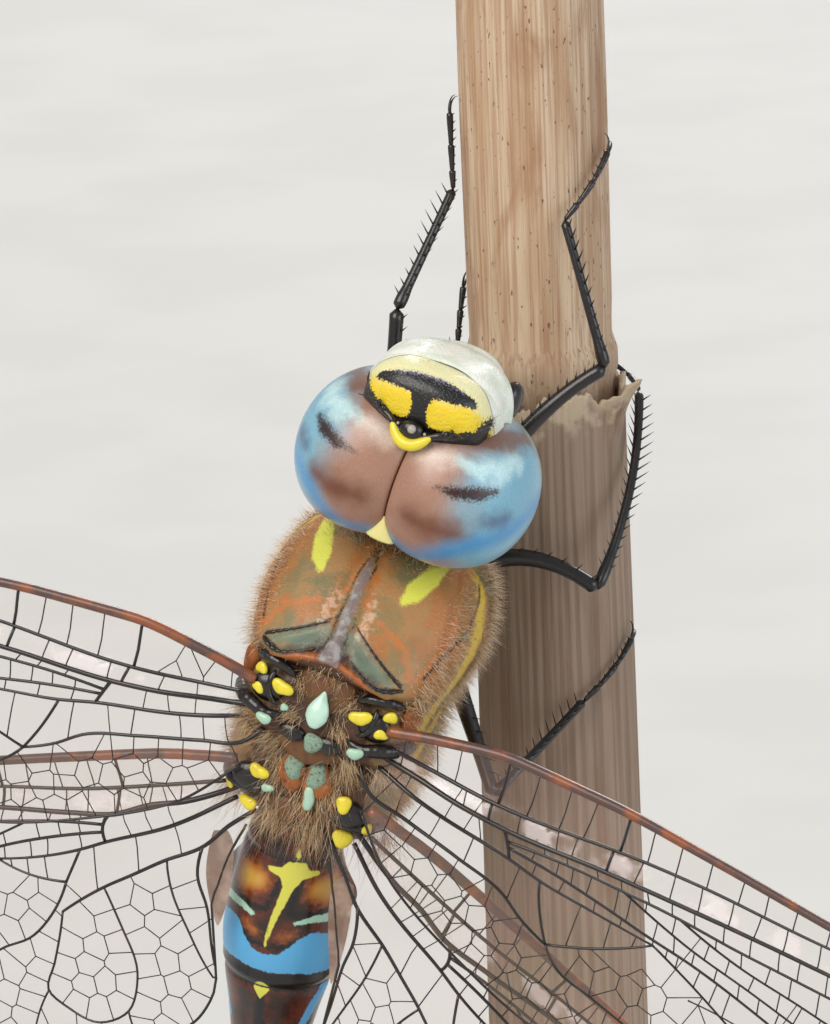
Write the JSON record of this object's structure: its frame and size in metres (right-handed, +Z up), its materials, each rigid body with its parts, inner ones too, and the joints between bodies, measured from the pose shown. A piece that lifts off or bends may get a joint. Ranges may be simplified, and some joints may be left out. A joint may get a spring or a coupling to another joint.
{
  "type": "dragonfly model",
  "caption": "Life-size male migrant hawker dragonfly gripping a cut length of reed, wings spread, held upright by a short rod on a flat round display base.",
  "frame": {"origin": "centre of the display base's underside, under the reed's axis", "axes": "+Z up along the reed, -Y towards the insect's back and the viewer, +X to the viewer's right"},
  "size_m": [0.0771, 0.056, 0.101],
  "materials": {
    "eye": "faceted compound eye, blue below and rear, brown above",
    "face": "yellow cuticle with a black mark",
    "head_back": "black cuticle",
    "thorax": "brown hairy cuticle with yellow spots",
    "abdomen": "dark cuticle with blue, yellow and mint marks",
    "wing": "clear membrane with dark veins",
    "leg": "black spined cuticle",
    "reed": "dry reed straw",
    "sheath": "dry leaf sheath",
    "stand_wood": "oiled dark wood",
    "stand_steel": "brushed steel"
  },
  "bodies": {
    "root": {"eye_left": "eye", "eye_right": "eye", "frons": "face", "clypeus": "face", "labrum": "face", "labium": "face", "vertex": "face", "occiput": "face", "head_capsule": "head_back", "antenna_left": "head_back", "antenna_right": "head_back", "thorax": "thorax", "prothorax": "thorax", "abdomen_01": "abdomen", "abdomen_02": "abdomen", "abdomen_03": "abdomen", "abdomen_04": "abdomen", "abdomen_05": "abdomen", "abdomen_06": "abdomen", "abdomen_07": "abdomen", "abdomen_08": "abdomen", "abdomen_09": "abdomen", "abdomen_10": "abdomen", "cercus_left": "abdomen", "cercus_right": "abdomen", "epiproct": "abdomen", "forewing_left": "wing", "forewing_right": "wing", "hindwing_left": "wing", "hindwing_right": "wing", "femur_fore_left": "leg", "tibia_fore_left": "leg", "tarsus_fore_left": "leg", "femur_fore_right": "leg", "tibia_fore_right": "leg", "tarsus_fore_right": "leg", "femur_mid_left": "leg", "tibia_mid_left": "leg", "tarsus_mid_left": "leg", "femur_mid_right": "leg", "tibia_mid_right": "leg", "tarsus_mid_right": "leg", "femur_hind_left": "leg", "tibia_hind_left": "leg", "tarsus_hind_left": "leg", "femur_hind_right": "leg", "tibia_hind_right": "leg", "tarsus_hind_right": "leg", "perch_reed": "reed", "perch_sheath": "sheath", "stand_base": "stand_wood", "stand_rod": "stand_steel"}
  },
  "joints": []
}
